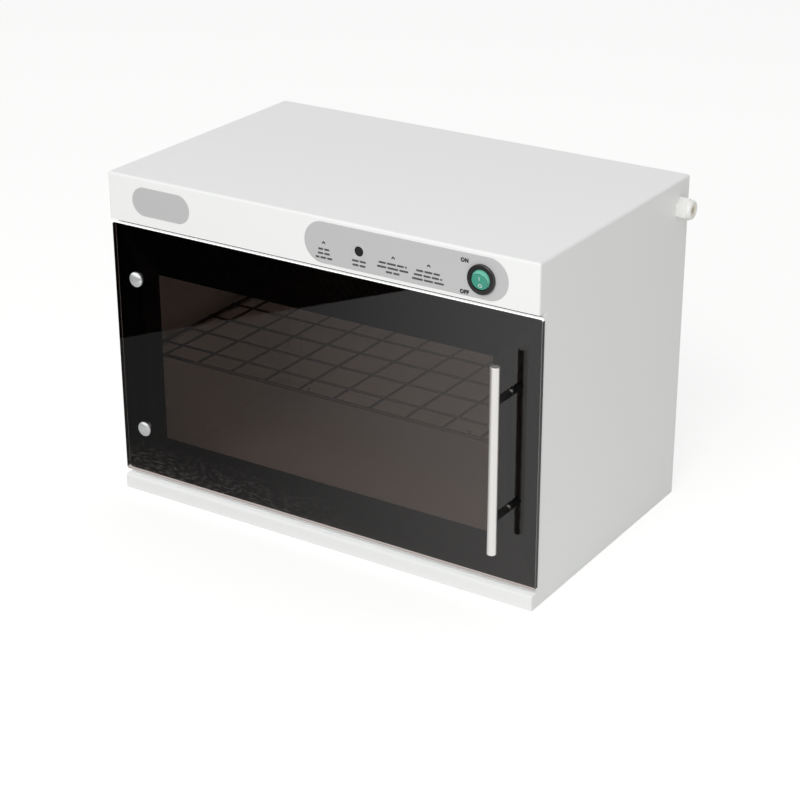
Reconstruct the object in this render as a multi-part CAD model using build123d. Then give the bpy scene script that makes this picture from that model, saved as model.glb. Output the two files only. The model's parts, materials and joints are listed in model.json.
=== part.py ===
"""Germicidal storage chamber: a bench cabinet of sheet steel with a tinted glass door.

Millimetres. X runs to the right as seen from the front, Y runs back, Z runs up.
The origin is the middle of the flat face that the cabinet rests on.
"""
import os
from math import cos, pi, sin

from build123d import *

# Casing, folded and welded from painted steel sheet
WIDTH = 400.0
DEPTH = 243.5
HEIGHT = 284.0
SHEET = 1.2
TOP_BEND = 2.0
FRONT_BEND = 1.8
SIDE_BEND = 2.4
LEDGE_BEND = 2.6
BAND_END_ROUND = 1.0
BAND_HEIGHT = 40.0
LEDGE_HEIGHT = 13.0
FRAME_WIDTH = 15.0
RETURN_LAP = 12.0
BACK_FLANGE = 12.0
BACK_FLANGE_START = 20.0
BASE_FLANGE_HEIGHT = 12.0
FLANGE_GAP = 1.0
CEILING_FLANGE_HEIGHT = 10.0

# Glass door, hung in front of the frame between the band and the ledge
GLASS = 4.0
GLASS_SET_BACK = 3.0
GLASS_OVERHANG = 1.0
GLASS_TOP_GAP = 3.6
GLASS_BOTTOM_GAP = 3.3
GLASS_CORNER = 2.5
GLASS_EDGE = 0.4
BORDER_FILM = 0.2
BORDER_SIDE = 43.0
BORDER_TOP = 39.7
BORDER_BOTTOM = 37.7
BORDER_INSET = 0.5
DOOR_CLEARANCE = 0.3
SEAL = 0.9
SEAL_WIDTH = 8.0
SEAL_EDGE = 3.0

# Hinges: a leaf clamped behind the glass turns on a bracket inside the side wall
HINGE_FROM_TOP = 46.3
HINGE_FROM_BOTTOM = 42.9
HINGE_IN_FROM_SIDE = 0.5
KNUCKLE_RADIUS = 2.0
HINGE_PIN_RADIUS = 1.0
HINGE_RUNNING_GAP = 0.05
HINGE_HEIGHT = 20.0
DOOR_KNUCKLE = 7.4
HINGE_END_GAP = 0.3
LEAF = 1.0
LEAF_GAP = 0.1
LEAF_TAB = 18.0
LEAF_TAB_GAP = 0.6
BRACKET = 1.0
BRACKET_LENGTH = 24.0
RIVET_RADIUS = 1.5
RIVET_HEAD_RADIUS = 2.6
RIVET_HEAD = 0.8
RIVET_PITCH = 12.0
RIVET_FROM_AXIS = 15.6
CAP_FROM_EDGE = 22.8
CAP_RADIUS = 6.3
CAP_RIM = 1.0
CAP_DOME = 1.2
CAP_WASHER_RADIUS = 6.8
CAP_WASHER = 0.5
CAP_SCREW_RADIUS = 2.0
GLASS_HOLE_RADIUS = 3.0
CAP_NUT_FLATS = 7.0
CAP_NUT = 2.4

# Bar handle
HANDLE_FROM_EDGE = 27.0
HANDLE_BELOW_MIDDLE = 0.65
HANDLE_LENGTH = 154.0
HANDLE_PITCH = 96.0
HANDLE_BAR_RADIUS = 3.8
HANDLE_BAR_CHAMFER = 0.3
HANDLE_REACH = 20.5
HANDLE_POST_RADIUS = 3.0
HANDLE_SCREW_RADIUS = 2.0
HANDLE_SCREW_DEPTH = 8.0
HANDLE_WASHER_RADIUS = 4.5
HANDLE_WASHER = 0.8
HANDLE_HEAD_RADIUS = 3.6
HANDLE_HEAD = 2.2
HANDLE_HEAD_ROUND = 1.1

# Magnets that hold the door shut
MAGNET_RADIUS = 4.0
MAGNET_LENGTH = 6.0
MAGNET_PITCH = 150.0
MAGNET_FROM_SIDE = 7.0
STRIKE = 0.3
STRIKE_RADIUS = 4.6
MAGNET_GAP = 0.25

# Wire shelf on two angle rails
SHELF_HEIGHT = 121.0
SHELF_FRONT = 24.6
SHELF_REAR_MARGIN = 7.6
SHELF_SIDE_MARGIN = 8.0
SHELF_FRAME_RADIUS = 1.5
SHELF_WIRE_RADIUS = 1.1
SHELF_COLUMN_PITCH = 34.2
SHELF_COLUMNS = 11
SHELF_ROW_PITCH = 33.3
SHELF_ROWS = 6
WIRE_BITE = 0.4
RAIL = 1.2
RAIL_LEG = 13.0
RAIL_END_GAP = 6.0

# Lamp under the ceiling, with its holders and reflector
LAMP_LENGTH = 288.0
LAMP_RADIUS = 8.0
LAMP_WALL = 0.7
LAMP_CAP = 12.0
LAMP_CAP_WALL = 0.3
LAMP_PIN_RADIUS = 1.2
LAMP_PIN_LENGTH = 6.5
LAMP_PIN_PITCH = 4.8
LAMP_DROP = 22.0
LAMP_SET_BACK = 122.0
HOLDER_THICKNESS = 11.0
HOLDER_WIDTH = 22.0
HOLDER_ROUND = 5.0
HOLDER_BELOW_LAMP = 4.0
REFLECTOR_SHEET = 0.8
REFLECTOR_CROWN = 44.0
REFLECTOR_WIDTH = 72.0
REFLECTOR_DEPTH = 12.0

# Electrical gear on top of the ceiling
BALLAST_SIZE = (150.0, 41.0, 28.0)
BALLAST_ROUND = 2.0
BALLAST_FOOT = 1.5
BALLAST_FOOT_LENGTH = 12.0
BALLAST_PLACE = (-80.0, 150.0)
STARTER_RADIUS = 10.75
STARTER_LENGTH = 36.0
STARTER_ROUND = 2.0
STARTER_BASE = (24.0, 12.0, 26.0)
STARTER_PLACE = (60.0, 150.0)
TERMINAL_SIZE = (18.0, 48.0, 16.0)
TERMINAL_WAYS = 5
TERMINAL_HOLE_RADIUS = 2.2
TERMINAL_HOLE_HEIGHT = 5.6
TERMINAL_SCREW_RADIUS = 2.0
TERMINAL_SCREW_DEPTH = 4.0
TERMINAL_PLACE = (150.0, 170.0)

# Control panel: each place is across from the middle and up from the band's lower edge
FILM_THICKNESS = 0.5
FILM_LENGTH = 180.0
FILM_HEIGHT = 33.4
FILM_PLACE = (84.0, 19.7)
FILM_DOME = 0.35
PLATE_LENGTH = 57.6
PLATE_HEIGHT = 24.0
PLATE_PLACE = (-146.4, 20.3)
BUTTON_PLACE = (44.2, 18.9)
BUTTON_RADIUS = 3.7
BUTTON_GAP = 0.3
BUTTON_RECESS = 0.5
BUTTON_TRAVEL = 0.6
BUTTON_ROUND = 0.4
BUTTON_SHOULDER = 0.9
BUTTON_SHOULDER_RADIUS = 4.6
BUTTON_STEM_RADIUS = 1.5
STEM_RUNNING_GAP = 0.05
SLEEVE_WALL = 1.0
SLEEVE_FLANGE = 1.0
SLEEVE_FLANGE_RADIUS = 6.5
LAMP_PLACES = (12.0, 75.0, 106.3)
LED_RADIUS = 1.5
LED_HOLE_RADIUS = 1.8
LED_COLLAR = 2.0
LED_COLLAR_RADIUS = 1.9
BOARD = 1.6
BOARD_BEHIND_BAND = 9.0
BOARD_SPAN = (-2.0, 120.0)
BOARD_HEIGHT = 28.0
RELAY_SIZE = (19.0, 15.0, 15.0)
RELAY_PLACE = (12.0, 5.0)
SUPPLY_SIZE = (28.0, 18.0, 20.0)
SUPPLY_PLACE = (74.0, 4.0)
CAPACITOR_RADIUS = 5.0
CAPACITOR_HEIGHT = 12.0
CAPACITOR_PLACE = (54.0, 14.0)
STANDOFF_RADIUS = 2.5
STANDOFF_IN = 4.5
SWITCH_BLOCK = 6.0
SWITCH_BLOCK_DEPTH = 3.5
SWITCH_BLOCK_BORE = 2.0

# Round rocker switch
ROCKER_PLACE = (151.7, 18.5)
BEZEL_RADIUS = 11.75
BEZEL = 2.0
BEZEL_DOME = 0.8
BEZEL_LIP = 1.0
ROCKER_OPENING = 8.2
ROCKER_RADIUS = 8.1
ROCKER_SWING = 26.0
ROCKER_PIVOT_DEPTH = 3.0
ROCKER_FACE_OUT = 4.4
ROCKER_EDGE = 0.35
ROCKER_BACK = 3.0
ROCKER_PIN_RADIUS = 1.0
ROCKER_RUNNING_GAP = 0.05
SWITCH_BODY_RADIUS = 9.9
SWITCH_BODY_WALL = 1.0
SWITCH_BODY_DEPTH = 14.0
SWITCH_FLOOR = 3.0
PANEL_HOLE_GAP = 0.2
TERMINAL_TAB = (6.3, 10.0, 0.8)
TERMINAL_TABS = 3
TERMINAL_TAB_PITCH = 5.0

# Cable gland in the right side wall
GLAND_FROM_BACK = 15.2
GLAND_ABOVE_CEILING = 7.06
GLAND_FLATS = 16.0
GLAND_HEX = 4.3
GLAND_DOME = 3.6
GLAND_DOME_ROUND = 2.4
GLAND_SEAL_SUNK = 0.4
GLAND_THREAD_RADIUS = 6.25
GLAND_BORE_RADIUS = 5.0
GLAND_MOUTH_RADIUS = 4.6
GLAND_INSIDE = 10.0
CABLE_BORE_RADIUS = 3.25
GLAND_SEAL_LENGTH = 8.0
LOCKNUT = 4.0

# Back panel
PANEL_SCREW_RADIUS = 1.5
PANEL_SCREW_HEAD_RADIUS = 2.8
PANEL_SCREW_HEAD = 1.4
PANEL_SCREW_ROUND = 0.8
PANEL_SCREW_COLUMNS = 3
VENT_LENGTH = 22.0
VENT_WIDTH = 2.4
VENTS = 8
VENT_PITCH = 14.0
VENT_DROP = 18.0

# Worked out from the sizes above
RIGHT = WIDTH / 2
FRONT = -DEPTH / 2
BACK = DEPTH / 2
BAND_BOTTOM = HEIGHT - BAND_HEIGHT
GLASS_FACE = FRONT + GLASS_SET_BACK
GLASS_REAR = GLASS_FACE + GLASS
DOOR_REAR = GLASS_REAR + BORDER_FILM
FRAME_FACE = DOOR_REAR + DOOR_CLEARANCE + SEAL
FRAME_REAR = FRAME_FACE + SHEET
GLASS_BOTTOM = LEDGE_HEIGHT + GLASS_BOTTOM_GAP
GLASS_TOP = BAND_BOTTOM - GLASS_TOP_GAP
GLASS_EDGE_X = RIGHT + GLASS_OVERHANG
INSIDE = RIGHT - SHEET
PANEL_INNER = BACK - SHEET
FLANGE_INNER = PANEL_INNER - SHEET
CEILING_UNDERSIDE = BAND_BOTTOM - SHEET
HINGE_X = -(RIGHT - HINGE_IN_FROM_SIDE)
HINGE_Y = DOOR_REAR + DOOR_CLEARANCE + KNUCKLE_RADIUS
HINGE_HEIGHTS = {
    "upper": GLASS_TOP - HINGE_FROM_TOP,
    "lower": GLASS_BOTTOM + HINGE_FROM_BOTTOM,
}
CAP_X = -(GLASS_EDGE_X - CAP_FROM_EDGE)
LEAF_FRONT = DOOR_REAR + LEAF_GAP
LEAF_REAR = LEAF_FRONT + LEAF
HANDLE_X = GLASS_EDGE_X - HANDLE_FROM_EDGE
HANDLE_Y = GLASS_FACE - HANDLE_REACH
GLASS_MIDDLE = (GLASS_BOTTOM + GLASS_TOP) / 2
HANDLE_MIDDLE = GLASS_MIDDLE - HANDLE_BELOW_MIDDLE
HANDLE_HEIGHTS = [HANDLE_MIDDLE + side * HANDLE_PITCH / 2 for side in (-1, 1)]
MAGNET_X = RIGHT - MAGNET_FROM_SIDE
MAGNET_FACE = DOOR_REAR + STRIKE + MAGNET_GAP
MAGNET_HEIGHTS = [GLASS_MIDDLE + side * MAGNET_PITCH / 2 for side in (-1, 1)]
FILM_FACE = FRONT - FILM_THICKNESS
BOARD_FACE = FRONT + SHEET + BOARD_BEHIND_BAND
FILM_X, FILM_Z = FILM_PLACE[0], BAND_BOTTOM + FILM_PLACE[1]
PLATE_X, PLATE_Z = PLATE_PLACE[0], BAND_BOTTOM + PLATE_PLACE[1]
BUTTON_X, BUTTON_Z = BUTTON_PLACE[0], BAND_BOTTOM + BUTTON_PLACE[1]
ROCKER_X, ROCKER_Z = ROCKER_PLACE[0], BAND_BOTTOM + ROCKER_PLACE[1]
LAMP_Z = CEILING_UNDERSIDE - LAMP_DROP
LAMP_Y = FRONT + LAMP_SET_BACK
BEZEL_FACE = FILM_FACE - BEZEL
ROCKER_PIVOT_Y = BEZEL_FACE + ROCKER_PIVOT_DEPTH
GLAND_CORNERS = GLAND_FLATS / cos(pi / 6)
GLAND_Y = BACK - GLAND_FROM_BACK
GLAND_Z = BAND_BOTTOM + GLAND_ABOVE_CEILING + GLAND_CORNERS / 2
SHELF_LOW = SHELF_HEIGHT - SHELF_FRAME_RADIUS


def block(x, y, z):
    """A box from its (low, high) pairs along X, Y and Z."""
    centre = [(low + high) / 2 for low, high in (x, y, z)]
    size = [abs(high - low) for low, high in (x, y, z)]
    return Pos(*centre) * Box(*size)


def standing_block(x, y, floor, size):
    """A box of the given length, width and height, centred over a point on a floor."""
    length, width, height = size
    return block((x - length / 2, x + length / 2), (y - width / 2, y + width / 2), (floor, floor + height))


def rod(start, direction, radius, length):
    """A cylinder from a point, along a direction."""
    return Plane(origin=start, z_dir=direction) * Cylinder(
        radius, length, align=(Align.CENTER, Align.CENTER, Align.MIN)
    )


def rod_back(x, y, z, radius, length):
    return rod((x, y, z), (0, 1, 0), radius, length)


def rod_right(x, y, z, radius, length):
    return rod((x, y, z), (1, 0, 0), radius, length)


def rod_up(x, y, z, radius, length):
    return rod((x, y, z), (0, 0, 1), radius, length)


def hexagon(start, direction, flats, length):
    """A hexagonal prism with two corners straight up and down, and flats the given width apart."""
    outline = RegularPolygon(flats / 2, 6, major_radius=False)
    return extrude(Plane(origin=start, x_dir=(0, 0, 1), z_dir=direction) * outline, length)


def upright_plate(x, z, y, thickness, corner):
    """A plate that stands across Y, with its four corners rounded."""
    outline = RectangleRounded(x[1] - x[0], z[1] - z[0], corner)
    middle = ((x[0] + x[1]) / 2, y, (z[0] + z[1]) / 2)
    return extrude(Plane(origin=middle, x_dir=(1, 0, 0), z_dir=(0, -1, 0)) * outline, -thickness)


def pill(x, z, length, height):
    """A flat label with full round ends and a softened front edge, stuck on the band."""
    plane = Plane(origin=(x, FILM_FACE, z), x_dir=(1, 0, 0), z_dir=(0, -1, 0))
    body = extrude(plane * SlotOverall(length, height), -FILM_THICKNESS)
    return fillet(body.faces().sort_by(Axis.Y)[0].edges(), FILM_DOME)


def edges_at(body, axis, **place):
    """The straight edges along an axis whose middle lies at the given x, y or z."""

    def is_there(edge):
        middle = edge.center()
        where = {"x": middle.X, "y": middle.Y, "z": middle.Z}
        return all(abs(where[name] - value) < 0.01 for name, value in place.items())

    return body.edges().filter_by(axis).filter_by(is_there)


def save(node, *solids):
    """Write one node, as one solid or as a group of separate ones."""
    shape = solids[0] if len(solids) == 1 else Compound(children=list(solids))
    export_step(shape, f"parts/{node}.step")


def rounded_hull():
    """The casing from outside: a block with the front stepped back behind the door."""
    hull = block((-RIGHT, RIGHT), (FRONT, BACK), (0, HEIGHT))
    hull -= block((-RIGHT - 1, RIGHT + 1), (FRONT - 1, FRAME_FACE), (LEDGE_HEIGHT, BAND_BOTTOM))
    for x in (-RIGHT, RIGHT):
        hull = fillet(edges_at(hull, Axis.Y, x=x, z=HEIGHT), TOP_BEND)
    hull = fillet(edges_at(hull, Axis.X, y=FRONT, z=HEIGHT), FRONT_BEND)
    hull = fillet(edges_at(hull, Axis.X, y=FRONT, z=LEDGE_HEIGHT), LEDGE_BEND)
    for x in (-RIGHT, RIGHT):
        hull = fillet(edges_at(hull, Axis.Z, x=x, y=FRAME_FACE), SIDE_BEND)
        hull = fillet(edges_at(hull, Axis.Z, x=x, y=FRONT), BAND_END_ROUND)
    return hull


def hinge_notch(height):
    """Room in the front frame and the side wall for one hinge's knuckles."""
    half = HINGE_HEIGHT / 2 + DOOR_CLEARANCE
    return block(
        (-RIGHT - 1, HINGE_X + KNUCKLE_RADIUS + 2 * DOOR_CLEARANCE),
        (FRAME_FACE - 1, HINGE_Y + KNUCKLE_RADIUS + 2 * DOOR_CLEARANCE),
        (height - half, height + half),
    )


def panel_screw_places():
    """Where the back panel is screwed: down both sides and along the top and bottom."""
    side = INSIDE - BACK_FLANGE / 2
    low = BASE_FLANGE_HEIGHT / 2 + SHEET
    high = HEIGHT - SHEET - BACK_FLANGE / 2
    middle = (low + high) / 2
    places = [(x, z) for x in (-side, side) for z in (middle, high)]
    span = side - FRAME_WIDTH
    step = 2 * span / (PANEL_SCREW_COLUMNS - 1)
    places += [(-span + i * step, low) for i in range(PANEL_SCREW_COLUMNS)]
    return places


def outer_casing():
    lap = FRAME_REAR + RETURN_LAP
    casing = rounded_hull()
    casing -= block((-INSIDE, INSIDE), (FRAME_REAR, BACK + 1), (-1, BAND_BOTTOM))
    casing -= block((-INSIDE, INSIDE), (lap, BACK + 1), (BAND_BOTTOM - 1, HEIGHT - SHEET))
    casing -= block((-INSIDE, INSIDE), (FRONT + SHEET, lap + 1), (BAND_BOTTOM + SHEET, HEIGHT - SHEET))
    casing -= block((-INSIDE, INSIDE), (FRONT + SHEET, FRAME_REAR + 1), (-1, LEDGE_HEIGHT - SHEET))
    opening = INSIDE - FRAME_WIDTH
    casing -= block(
        (-opening, opening),
        (FRAME_FACE - 1, FRAME_REAR + 1),
        (LEDGE_HEIGHT + FRAME_WIDTH, BAND_BOTTOM - FRAME_WIDTH),
    )
    for x in (-1, 1):
        casing += block(
            (x * (INSIDE - BACK_FLANGE), x * INSIDE),
            (FLANGE_INNER, PANEL_INNER),
            (BACK_FLANGE_START, HEIGHT - SHEET),
        )
    casing += block(
        (-INSIDE, INSIDE), (FLANGE_INNER, PANEL_INNER), (HEIGHT - SHEET - BACK_FLANGE, HEIGHT - SHEET)
    )
    for height in HINGE_HEIGHTS.values():
        casing -= hinge_notch(height)
        for y, z in rivet_places(height):
            casing -= rod_right(-RIGHT - 1, y, z, RIVET_RADIUS, 2 + SHEET)
    for height in MAGNET_HEIGHTS:
        casing -= rod_back(MAGNET_X, FRAME_FACE - 1, height, MAGNET_RADIUS, 2 + SHEET)
    for x in LAMP_PLACES:
        casing -= rod_back(x, FRONT - 1, BUTTON_Z, LED_HOLE_RADIUS, 2 + SHEET)
    sleeve_radius = BUTTON_RADIUS + BUTTON_GAP + SLEEVE_WALL
    casing -= rod_back(BUTTON_X, FRONT - 1, BUTTON_Z, sleeve_radius, 2 + SHEET)
    switch_hole = SWITCH_BODY_RADIUS + PANEL_HOLE_GAP
    casing -= rod_back(ROCKER_X, FRONT - 1, ROCKER_Z, switch_hole, 2 + SHEET)
    casing -= rod_right(RIGHT - 2 * SHEET, GLAND_Y, GLAND_Z, GLAND_THREAD_RADIUS, 3 * SHEET)
    for x, z in panel_screw_places():
        casing -= rod_back(x, FLANGE_INNER - 1, z, PANEL_SCREW_RADIUS, 2 + SHEET)
    save("outer_casing", casing)


def base_plate():
    """The floor of the chamber, turned up at the sides and the back."""
    rear = PANEL_INNER
    wall_end = FLANGE_INNER - FLANGE_GAP
    rear_half = INSIDE - BACK_FLANGE - FLANGE_GAP
    plate = block((-INSIDE, INSIDE), (FRONT + SHEET, rear), (0, SHEET))
    for x in (-1, 1):
        plate += block(
            (x * (INSIDE - SHEET), x * INSIDE),
            (FRAME_REAR, wall_end),
            (0, SHEET + BASE_FLANGE_HEIGHT),
        )
    plate += block((-rear_half, rear_half), (FLANGE_INNER, rear), (0, SHEET + BASE_FLANGE_HEIGHT))
    for x, z in panel_screw_places():
        plate -= rod_back(x, FLANGE_INNER - 1, z, PANEL_SCREW_RADIUS, 2 + SHEET)
    save("base_plate", plate)


def back_panel():
    """The back cover and the screws that hold it to the flanges."""
    panel = block((-INSIDE, INSIDE), (PANEL_INNER, BACK), (0, HEIGHT - SHEET))
    for x, z in panel_screw_places():
        panel -= rod_back(x, PANEL_INNER - 1, z, PANEL_SCREW_RADIUS, 2 + SHEET)
    first = -(VENTS - 1) / 2 * VENT_PITCH
    for i in range(VENTS):
        slot = SlotOverall(VENT_LENGTH, VENT_WIDTH, rotation=90)
        origin = (first + i * VENT_PITCH, PANEL_INNER - 1, HEIGHT - VENT_DROP)
        panel -= extrude(Plane(origin=origin, x_dir=(1, 0, 0), z_dir=(0, -1, 0)) * slot, -2 - SHEET)
    save("back_panel", panel)
    screws = []
    for x, z in panel_screw_places():
        shank = rod_back(x, FLANGE_INNER - SHEET, z, PANEL_SCREW_RADIUS, BACK - FLANGE_INNER + SHEET)
        head = rod_back(x, BACK, z, PANEL_SCREW_HEAD_RADIUS, PANEL_SCREW_HEAD)
        head = fillet(head.edges().sort_by(Axis.Y)[-1], PANEL_SCREW_ROUND)
        screws.append(shank + head)
    save("back_panel_screws", *screws)


def chamber_ceiling():
    """The sheet between the chamber and the electrical gear above it."""
    ceiling = block((-INSIDE, INSIDE), (FRAME_REAR, FLANGE_INNER), (CEILING_UNDERSIDE, BAND_BOTTOM))
    for x in (-1, 1):
        ceiling += block(
            (x * (INSIDE - SHEET), x * INSIDE),
            (FRAME_REAR, FLANGE_INNER),
            (CEILING_UNDERSIDE - CEILING_FLANGE_HEIGHT, CEILING_UNDERSIDE),
        )
    save("chamber_ceiling", ceiling)


def door_glass():
    """The tinted pane with its clamp holes, and the black border printed behind it."""
    sides = (-GLASS_EDGE_X, GLASS_EDGE_X)
    heights = (GLASS_BOTTOM, GLASS_TOP)
    pane = upright_plate(sides, heights, GLASS_FACE, GLASS, GLASS_CORNER)
    faces = pane.faces().sort_by(Axis.Y)
    pane = chamfer(faces[0].edges() + faces[-1].edges(), GLASS_EDGE)
    inset = BORDER_INSET
    border = upright_plate(
        (sides[0] + inset, sides[1] - inset),
        (heights[0] + inset, heights[1] - inset),
        GLASS_REAR,
        BORDER_FILM,
        GLASS_CORNER,
    )
    window_x = (sides[0] + BORDER_SIDE, sides[1] - BORDER_SIDE)
    window_z = (heights[0] + BORDER_BOTTOM, heights[1] - BORDER_TOP)
    border -= block(window_x, (GLASS_REAR - 1, DOOR_REAR + 1), window_z)
    thickness = GLASS + BORDER_FILM
    for z in HINGE_HEIGHTS.values():
        hole = rod_back(CAP_X, GLASS_FACE - 1, z, GLASS_HOLE_RADIUS, thickness + 2)
        pane -= hole
        border -= hole
    for z in HANDLE_HEIGHTS:
        hole = rod_back(HANDLE_X, GLASS_FACE - 1, z, HANDLE_SCREW_RADIUS, thickness + 2)
        pane -= hole
        border -= hole
    save("door_glass", pane)
    save("door_border", border)


def door_seal():
    """A flat strip round the front frame, broken where the hinges and magnets stand."""
    seal_front = FRAME_FACE - SEAL
    outer = RIGHT - SIDE_BEND - SEAL_EDGE
    low = LEDGE_HEIGHT + SEAL_EDGE
    high = BAND_BOTTOM - SEAL_EDGE
    strip = block((-outer, outer), (seal_front, FRAME_FACE), (low, high))
    strip -= block(
        (-outer + SEAL_WIDTH, outer - SEAL_WIDTH),
        (seal_front - 1, FRAME_FACE + 1),
        (low + SEAL_WIDTH, high - SEAL_WIDTH),
    )
    half = HINGE_HEIGHT / 2 + DOOR_CLEARANCE
    for z in HINGE_HEIGHTS.values():
        strip -= block((-RIGHT, 0), (seal_front - 1, FRAME_FACE + 1), (z - half, z + half))
    for z in MAGNET_HEIGHTS:
        half = STRIKE_RADIUS + DOOR_CLEARANCE
        strip -= block((0, RIGHT), (seal_front - 1, FRAME_FACE + 1), (z - half, z + half))
    save("door_seal", *strip.solids())


def rivet_places(height):
    """The two rivets of one hinge bracket, as (y, z)."""
    y = HINGE_Y + RIVET_FROM_AXIS
    return [(y, height + side * RIVET_PITCH / 2) for side in (-1, 1)]


def hinge_bracket(name, height):
    """The fixed half of one hinge: a plate on the side wall with two knuckles."""
    top = HINGE_HEIGHT / 2
    clear = DOOR_KNUCKLE / 2 + HINGE_END_GAP
    plate = block(
        (-INSIDE, -INSIDE + BRACKET), (HINGE_Y, HINGE_Y + BRACKET_LENGTH), (height - top, height + top)
    )
    for low, high in ((-top, -clear), (clear, top)):
        plate += rod_up(HINGE_X, HINGE_Y, height + low, KNUCKLE_RADIUS, high - low)
    window = KNUCKLE_RADIUS + HINGE_END_GAP
    plate -= block(
        (-RIGHT - 3, -INSIDE + BRACKET + 1),
        (HINGE_Y - KNUCKLE_RADIUS - 1, HINGE_Y + window),
        (height - clear, height + clear),
    )
    plate -= rod_up(HINGE_X, HINGE_Y, height - top - 1, HINGE_PIN_RADIUS, HINGE_HEIGHT + 2)
    for y, z in rivet_places(height):
        plate -= rod_right(-INSIDE - 1, y, z, RIVET_RADIUS, 2 + BRACKET)
    save(f"{name}_hinge_bracket", plate)
    save(f"{name}_hinge_pin", rod_up(HINGE_X, HINGE_Y, height - top, HINGE_PIN_RADIUS, HINGE_HEIGHT))


def hinge_leaf(name, height):
    """The moving half of one hinge: a tab behind the glass with the middle knuckle."""
    tab_start = HINGE_X + KNUCKLE_RADIUS + LEAF_TAB_GAP
    tab_end = CAP_X + LEAF_TAB / 2
    half_knuckle = DOOR_KNUCKLE / 2
    leaf = block(
        (tab_start, tab_end), (LEAF_FRONT, LEAF_REAR), (height - LEAF_TAB / 2, height + LEAF_TAB / 2)
    )
    leaf += block(
        (HINGE_X, tab_start + 1), (LEAF_FRONT, LEAF_REAR), (height - half_knuckle, height + half_knuckle)
    )
    leaf += rod_up(HINGE_X, HINGE_Y, height - half_knuckle, KNUCKLE_RADIUS, DOOR_KNUCKLE)
    bore = HINGE_PIN_RADIUS + HINGE_RUNNING_GAP
    leaf -= rod_up(HINGE_X, HINGE_Y, height - half_knuckle - 1, bore, DOOR_KNUCKLE + 2)
    leaf -= rod_back(CAP_X, LEAF_FRONT - 1, height, CAP_SCREW_RADIUS, LEAF + 2)
    save(f"{name}_hinge_leaf", leaf)


def hinge_hardware():
    """Rivets, the two bright caps in front of the glass, their washers, bushes and nuts."""
    rivets, caps, washers, bushes, nuts = [], [], [], [], []
    for height in HINGE_HEIGHTS.values():
        for y, z in rivet_places(height):
            shank = rod_right(-RIGHT, y, z, RIVET_RADIUS, SHEET + BRACKET)
            head = rod_right(-INSIDE + BRACKET, y, z, RIVET_HEAD_RADIUS, RIVET_HEAD)
            rivets.append(shank + head)
        washer_face = GLASS_FACE - CAP_WASHER
        washer = rod_back(CAP_X, washer_face, height, CAP_WASHER_RADIUS, CAP_WASHER)
        washers.append(washer - rod_back(CAP_X, washer_face - 1, height, CAP_SCREW_RADIUS, CAP_WASHER + 2))
        caps.append(hinge_cap(washer_face, height))
        bush = rod_back(CAP_X, GLASS_FACE, height, GLASS_HOLE_RADIUS, LEAF_FRONT - GLASS_FACE)
        bush -= rod_back(CAP_X, GLASS_FACE - 1, height, CAP_SCREW_RADIUS, LEAF_FRONT - GLASS_FACE + 2)
        bushes.append(bush)
        nut = hexagon((CAP_X, LEAF_REAR, height), (0, 1, 0), CAP_NUT_FLATS, CAP_NUT)
        nuts.append(nut - rod_back(CAP_X, LEAF_REAR - 1, height, CAP_SCREW_RADIUS, CAP_NUT + 2))
    save("hinge_rivets", *rivets)
    save("hinge_caps", *caps)
    save("hinge_cap_washers", *washers)
    save("hinge_bushes", *bushes)
    save("hinge_cap_nuts", *nuts)


def hinge_cap(rear, height):
    """A domed disc turned in one piece with its screw."""
    crown = CAP_RIM + CAP_DOME
    ball_radius = (CAP_RADIUS**2 + CAP_DOME**2) / (2 * CAP_DOME)
    disc = rod((CAP_X, rear, height), (0, -1, 0), CAP_RADIUS, crown)
    ball = Pos(CAP_X, rear - crown + ball_radius, height) * Rot(90, 0, 0) * Sphere(ball_radius)
    head = disc & ball
    return head + rod_back(CAP_X, rear, height, CAP_SCREW_RADIUS, LEAF_REAR + CAP_NUT - rear)


def handle():
    """The pull bar, its two posts, and the screws and washers behind the glass."""
    bar = rod_up(HANDLE_X, HANDLE_Y, HANDLE_MIDDLE - HANDLE_LENGTH / 2, HANDLE_BAR_RADIUS, HANDLE_LENGTH)
    bar = chamfer(bar.faces().filter_by(Axis.Z).edges(), HANDLE_BAR_CHAMFER)
    posts, screws, washers = [], [], []
    for z in HANDLE_HEIGHTS:
        post = rod_back(HANDLE_X, HANDLE_Y, z, HANDLE_POST_RADIUS, HANDLE_REACH)
        reach = 2 * HANDLE_BAR_RADIUS
        post -= rod_up(HANDLE_X, HANDLE_Y, z - reach, HANDLE_BAR_RADIUS, 2 * reach)
        start = GLASS_FACE - HANDLE_SCREW_DEPTH
        post -= rod_back(HANDLE_X, start, z, HANDLE_SCREW_RADIUS, HANDLE_SCREW_DEPTH + 1)
        posts.append(post)
        washer = rod_back(HANDLE_X, DOOR_REAR, z, HANDLE_WASHER_RADIUS, HANDLE_WASHER)
        washers.append(washer - rod_back(HANDLE_X, DOOR_REAR - 1, z, HANDLE_SCREW_RADIUS, HANDLE_WASHER + 2))
        head_seat = DOOR_REAR + HANDLE_WASHER
        shank = rod_back(HANDLE_X, start, z, HANDLE_SCREW_RADIUS, head_seat - start)
        head = rod_back(HANDLE_X, head_seat, z, HANDLE_HEAD_RADIUS, HANDLE_HEAD)
        head = fillet(head.edges().sort_by(Axis.Y)[-1], HANDLE_HEAD_ROUND)
        screws.append(shank + head)
    save("handle_bar", bar)
    save("handle_posts", *posts)
    save("handle_screws", *screws)
    save("handle_washers", *washers)


def door_catch():
    """Magnets in the front frame and thin steel discs behind the glass."""
    magnets, strikes = [], []
    for z in MAGNET_HEIGHTS:
        magnets.append(rod_back(MAGNET_X, MAGNET_FACE, z, MAGNET_RADIUS, MAGNET_LENGTH))
        strikes.append(rod_back(MAGNET_X, DOOR_REAR, z, STRIKE_RADIUS, STRIKE))
    save("catch_magnets", *magnets)
    save("strike_discs", *strikes)


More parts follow.
